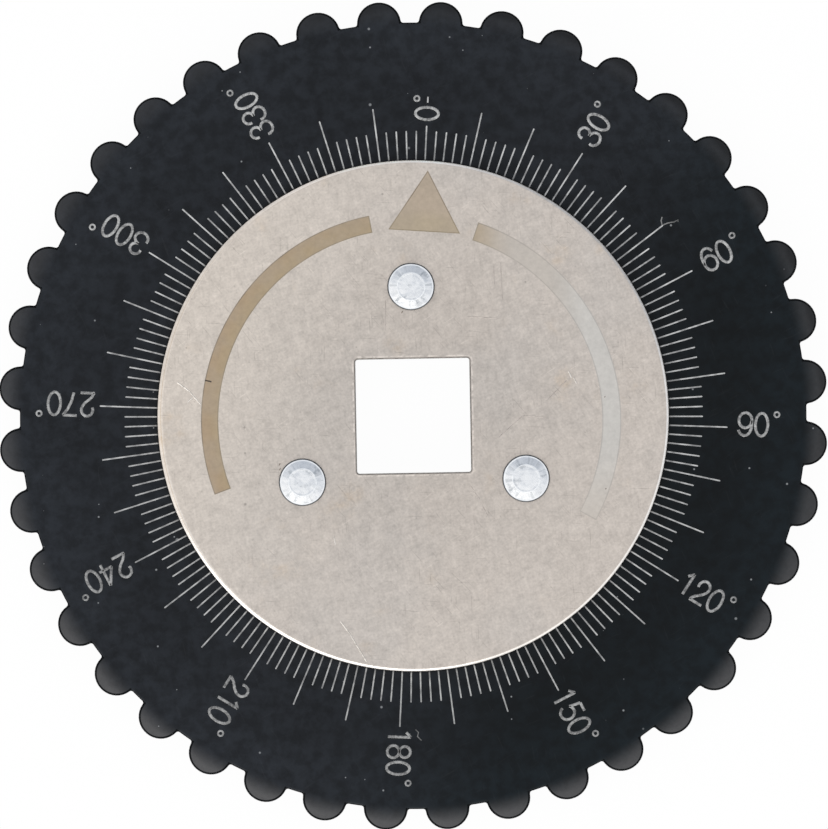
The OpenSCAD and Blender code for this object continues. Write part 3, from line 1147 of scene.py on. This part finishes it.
# %% Zinc on the rivets
def bright_zinc():
    finish = Finish("bright_zinc", 1.0)
    crease = finish.wire.add("ShaderNodeAttribute", {"attribute_name": "crease"}, {}, "Fac").step(0.04, 0.42)
    dents = finish.cloud(0.9 * MM, 3.0)
    blotch = finish.cloud(0.6 * MM, 4.0)
    smudge = finish.cloud(0.9 * MM, 4.0, rough=0.6).step(0.54, 0.72) * 0.7
    # Painted shade: slopes that face +Y are darker and bluer, as if they faced away from the light.
    normal = finish.wire.add("ShaderNodeTexCoord", {}, {}, "Normal")
    upward_shade = finish.wire.add("ShaderNodeSeparateXYZ", {}, {0: normal}, 1).step(0.03, 0.36)
    clean = blotch.step(0.30, 0.58).tint((0.72, 0.74, 0.765, 1), (0.85, 0.86, 0.87, 1))
    zinc_with_painted_shade = (upward_shade * 0.8).tint(clean, (0.60, 0.63, 0.67, 1))
    # Painted shade of the press's creases: the stored value darkens the shoulder in radial streaks.
    marks = smudge + crease * 0.55 * blotch.step(0.25, 0.6)
    marked = marks.tint(zinc_with_painted_shade, (0.42, 0.445, 0.47, 1))
    return finish.done(marked, 0.15 + blotch * 0.10, dents + blotch, 0.045 * MM)


BURNISHED_SHADES = ((0.80, 0.82, 0.84, 1), (0.93, 0.94, 0.95, 1))
SEAT_SHADES = ((0.05, 0.055, 0.06, 1), (0.22, 0.235, 0.255, 1))
zinc = bright_zinc()
worn_zinc = patchy_metal("burnished_zinc", *BURNISHED_SHADES, 0.5 * MM, 3.0, (0.3, 0.6), (0.24, 0.1))
# A dark band of painted shade at the foot of each head, where it meets the plate.
seat_shade = patchy_metal("painted_seat_shade", *SEAT_SHADES, 0.4 * MM, 3.0, None, (0.45, 0.2))
print("zinc ready")

# %% Set the three rivets
SEAT_SHARE = 0.93
BURNISHED = ((0.885, 0.93), (0.555, 0.592))
SEED_STEP = 7.3


def dress_rivet(rivet, middle, head_r):
    """Zinc on the head, darkened by painted shade where it sits on the plate, and burnished on its two
    ridges.
    """
    def share(centre):
        """How far out a face lies: 0 in the middle of the head, 1 at its rim."""
        return Vector((centre.x - middle.x, centre.y - middle.y)).length / head_r

    rivet.data.materials.append(zinc)
    assign_faces(rivet, seat_shade, lambda c, n: share(c) > SEAT_SHARE)
    assign_faces(rivet, worn_zinc, lambda c, n: n.z > 0 and any(a < share(c) < b for a, b in BURNISHED))


rivets = []
for count, node in enumerate(("rivet_top", "rivet_left", "rivet_right")):
    seed = count * SEED_STEP
    rivet, middle, head_r = set_rivet(node, seed)
    mark_creases(rivet, middle, head_r, seed)
    dress_rivet(rivet, middle, head_r)
    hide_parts(node)
    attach(rivet, STACK)
    rivets.append(rivet)
print("rivet faces", [len(r.data.polygons) for r in rivets])

# %% [markdown]
# The gauge lies on a white table under a wide soft light, with a second soft light low at the lower left
# that catches the rolled lobes and the rim of the plate. The floor is white to the camera and to
# reflections, and still takes a part of its tone from the light, so it keeps the shadow. It has one side
# only, so that the back of the gauge can be looked at from below.

# %% Floor
FLOOR_SIZE = 4.0
FLOOR_GLOW = 0.97
FLOOR_DROP = 0.05 * MM


def seen_directly(wire):
    """1 for rays from the camera, mirrors and glass, 0 for the light that falls on things."""
    kinds = ("Is Camera Ray", "Is Glossy Ray", "Is Transmission Ray")
    from_camera, from_mirror, from_glass = (wire.add("ShaderNodeLightPath", {}, {}, kind) for kind in kinds)
    return (from_camera + from_mirror + from_glass).step(0, 1)


floor = new_piece("floor", bpy.ops.mesh.primitive_plane_add, size=FLOOR_SIZE, location=(0, 0, -FLOOR_DROP))
white_paper = bpy.data.materials.new("white_paper")
white_paper.use_nodes = True
paper_tree = white_paper.node_tree
paper_tree.nodes.remove(paper_tree.nodes["Principled BSDF"])
paper = Wire(paper_tree)
matt = paper.add("ShaderNodeBsdfDiffuse", {}, {"Color": (0.85, 0.85, 0.85, 1)})
glow = paper.add("ShaderNodeEmission", {}, {"Color": (1, 1, 1, 1), "Strength": 1.0})
blend = paper.add("ShaderNodeMixShader", {}, {0: seen_directly(paper) * FLOOR_GLOW, 1: matt, 2: glow})
clear = paper.add("ShaderNodeBsdfTransparent", {}, {})
underside = paper.add("ShaderNodeNewGeometry", {}, {}, "Backfacing")
one_sided = paper.add("ShaderNodeMixShader", {}, {0: underside, 1: blend, 2: clear})
paper_tree.links.new(one_sided.socket, paper_tree.nodes["Material Output"].inputs["Surface"])
floor.data.materials.append(white_paper)
print("floor", FLOOR_SIZE, "m")

# %% Light
ROOM_DIM = 0.66
ROOM_BRIGHT = 1.26
DIM_TINT = (0.94, 0.98, 1.05, 1)
BRIGHT_TINT = (1.01, 1.0, 0.985, 1)
BRIGHT_SIDE = (-0.4, -0.92, 0)
SIDE_REACH = 0.9
WINDOW_PLACE = (-0.8, -1.8, 1.15)
WINDOW_SIZE = (2.4, 1.1)
WINDOW_RADIANCE = 2.6

room = bpy.data.worlds.new("soft_room")
room.use_nodes = True
bpy.context.scene.world = room
room_wire = Wire(room.node_tree)
way = room_wire.add("ShaderNodeTexCoord", {}, {}, "Generated")
facing = room_wire.add("ShaderNodeVectorMath", {"operation": "DOT_PRODUCT"}, {0: way, 1: BRIGHT_SIDE}, 1)
levels = {0: facing, 1: -SIDE_REACH, 2: SIDE_REACH, 3: ROOM_DIM, 4: ROOM_BRIGHT}
strength = room_wire.add("ShaderNodeMapRange", {}, levels)
background = room.node_tree.nodes["Background"]
shade = facing.step(-SIDE_REACH, SIDE_REACH).tint(DIM_TINT, BRIGHT_TINT)
room.node_tree.links.new(shade.socket, background.inputs["Color"])
room.node_tree.links.new(strength.socket, background.inputs["Strength"])

lamp = bpy.data.lights.new("low_window", "AREA")
lamp.shape = "RECTANGLE"
lamp.size, lamp.size_y = WINDOW_SIZE
lamp.energy = WINDOW_RADIANCE * math.pi * WINDOW_SIZE[0] * WINDOW_SIZE[1]
window = bpy.data.objects.new("low_window", lamp)
bpy.context.scene.collection.objects.link(window)
window.location = WINDOW_PLACE
window.rotation_euler = (-Vector(WINDOW_PLACE)).to_track_quat("-Z", "Y").to_euler()
print("window of", round(lamp.energy), "watts")
